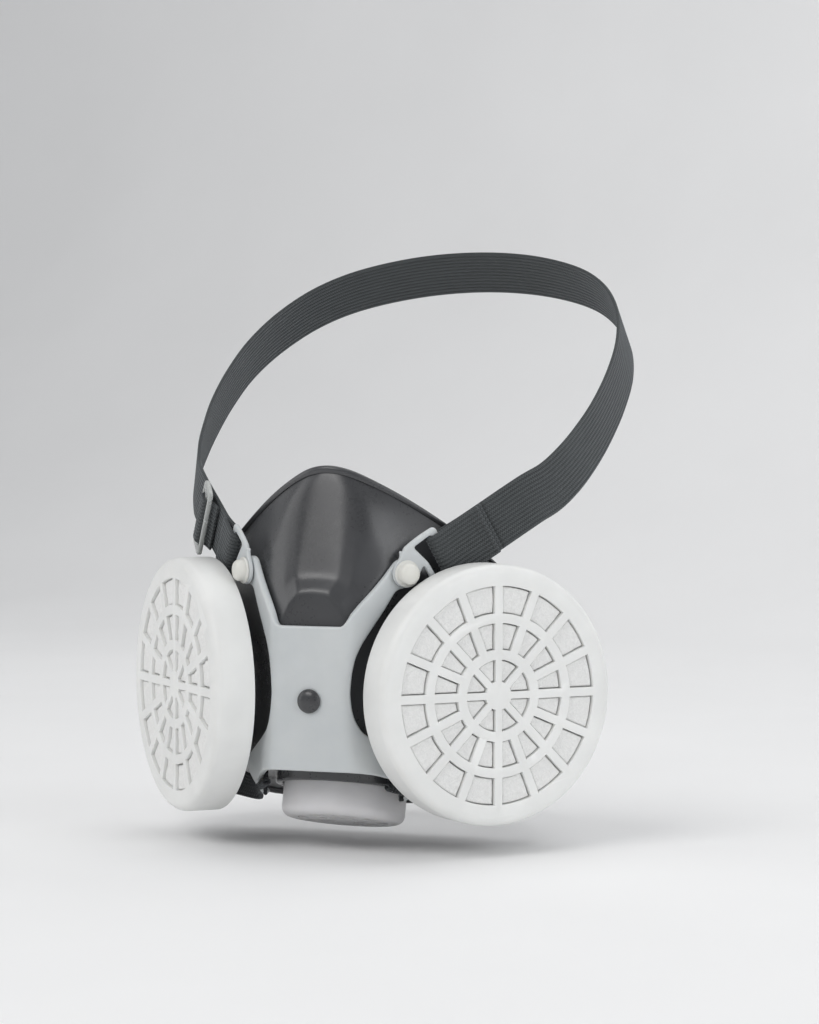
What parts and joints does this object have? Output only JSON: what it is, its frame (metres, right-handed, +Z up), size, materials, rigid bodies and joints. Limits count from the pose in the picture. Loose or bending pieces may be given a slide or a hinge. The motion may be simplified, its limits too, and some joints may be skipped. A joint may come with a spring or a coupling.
{
  "type": "half-mask dust respirator",
  "caption": "Reusable rubber half-mask dust respirator with two round clip-on filter cartridges, a moulded front frame, valves and elastic head and neck straps.",
  "frame": {"origin": "middle of the open face seal, on the mask's centre plane, level with the front frame's button", "axes": "-Y is the front of the mask, +X is the wearer's left, +Z is up along the mask's own front plate; the wearer's head is at +Y"},
  "size_m": [0.1636, 0.1844, 0.1916],
  "materials": {
    "rubber": "satin moulded thermoplastic rubber",
    "frame_plastic": "milky translucent polypropylene, satin",
    "filter_plastic": "white polypropylene, fine satin",
    "cap_plastic": "milky translucent polypropylene",
    "filter_felt": "needled white filter felt",
    "silicone": "thin clear silicone sheet",
    "gasket_rubber": "soft black rubber",
    "webbing": "ribbed elastic webbing",
    "slider_plastic": "clear polypropylene"
  },
  "bodies": {
    "root": {"facepiece": "rubber", "frame": "frame_plastic", "left_rivet": "filter_plastic", "right_rivet": "filter_plastic", "left_inhalation_seat": "cap_plastic", "right_inhalation_seat": "cap_plastic", "exhalation_seat": "cap_plastic"},
    "left_cartridge": {"left_filter_base": "filter_plastic", "left_filter_pad": "filter_felt", "left_port_gasket": "gasket_rubber"},
    "right_cartridge": {"right_filter_base": "filter_plastic", "right_filter_pad": "filter_felt", "right_port_gasket": "gasket_rubber"},
    "left_cover": {"left_filter_cover": "filter_plastic"},
    "right_cover": {"right_filter_cover": "filter_plastic"},
    "left_inlet_flap": {"left_inhalation_disc": "silicone"},
    "right_inlet_flap": {"right_inhalation_disc": "silicone"},
    "outlet_flap": {"exhalation_disc": "silicone"},
    "outlet_cap": {"exhalation_cover": "cap_plastic"},
    "left_buckle": {"left_strap_buckle": "frame_plastic"},
    "right_buckle": {"right_strap_buckle": "frame_plastic"},
    "head_harness": {"head_strap": "webbing"},
    "slider": {"strap_slider": "slider_plastic"},
    "neck_harness": {"neck_strap": "webbing"}
  },
  "joints": [
    {"name": "left_cartridge_twist", "type": "hinge", "parent": "root", "child": "left_cartridge", "pos_m": [0.05515, -0.03949, 0.0016], "axis": [0.7341, -0.679, 0], "range_deg": [0, 45]},
    {"name": "left_cover_pull", "type": "slide", "parent": "left_cartridge", "child": "left_cover", "axis": [0.7341, -0.679, 0], "range_m": [0, 0.022]},
    {"name": "left_inlet_flap_lift", "type": "slide", "parent": "root", "child": "left_inlet_flap", "axis": [-0.7341, 0.679, 0], "range_m": [0, 0.0014], "stiffness_N_per_m": 8, "springref_m": -0.0008},
    {"name": "right_cartridge_twist", "type": "hinge", "parent": "root", "child": "right_cartridge", "pos_m": [-0.05515, -0.03949, 0.0016], "axis": [0.7341, 0.679, 0], "range_deg": [0, 45]},
    {"name": "right_cover_pull", "type": "slide", "parent": "right_cartridge", "child": "right_cover", "axis": [-0.7341, -0.679, 0], "range_m": [0, 0.022]},
    {"name": "right_inlet_flap_lift", "type": "slide", "parent": "root", "child": "right_inlet_flap", "axis": [0.7341, 0.679, 0], "range_m": [0, 0.0014], "stiffness_N_per_m": 8, "springref_m": -0.0008},
    {"name": "outlet_flap_lift", "type": "slide", "parent": "root", "child": "outlet_flap", "axis": [0, -0.2402, -0.9707], "range_m": [0, 0.0018], "stiffness_N_per_m": 8, "springref_m": -0.001},
    {"name": "outlet_cap_pull", "type": "slide", "parent": "root", "child": "outlet_cap", "axis": [0, -0.2402, -0.9707], "range_m": [0, 0.018], "stiffness_N_per_m": 20, "springref_m": -0.002},
    {"name": "left_buckle_pivot", "type": "hinge", "parent": "root", "child": "left_buckle", "pos_m": [0.02658, -0.04637, 0.0395], "axis": [0.7341, -0.679, 0], "range_deg": [-10, 15], "stiffness_Nm_per_rad": 0.25},
    {"name": "right_buckle_pivot", "type": "hinge", "parent": "root", "child": "right_buckle", "pos_m": [-0.02658, -0.04637, 0.0395], "axis": [0.7341, 0.679, 0], "range_deg": [-10.1, 15.1], "stiffness_Nm_per_rad": 0.001},
    {"name": "harness_tilt", "type": "hinge", "parent": "left_buckle", "child": "head_harness", "pos_m": [0.0363, -0.03616, 0.0444], "axis": [0.679, 0.7341, 0], "range_deg": [-9.4, 14], "stiffness_Nm_per_rad": 0.25},
    {"name": "slider_travel", "type": "slide", "parent": "head_harness", "child": "slider", "axis": [-0.588, 0.6357, 0.5], "range_m": [-0.006, 0.008]},
    {"name": "neck_strap_swing", "type": "hinge", "parent": "root", "child": "neck_harness", "pos_m": [0, -0.036, -0.03], "axis": [1, 0, 0], "range_deg": [-35, 2], "stiffness_Nm_per_rad": 0.1}
  ],
  "couplings": [
    {"joint": "right_buckle_pivot", "follows": "left_buckle_pivot", "ratio": 1},
    {"joint": "harness_tilt", "follows": "left_buckle_pivot", "ratio": 0.925}
  ]
}
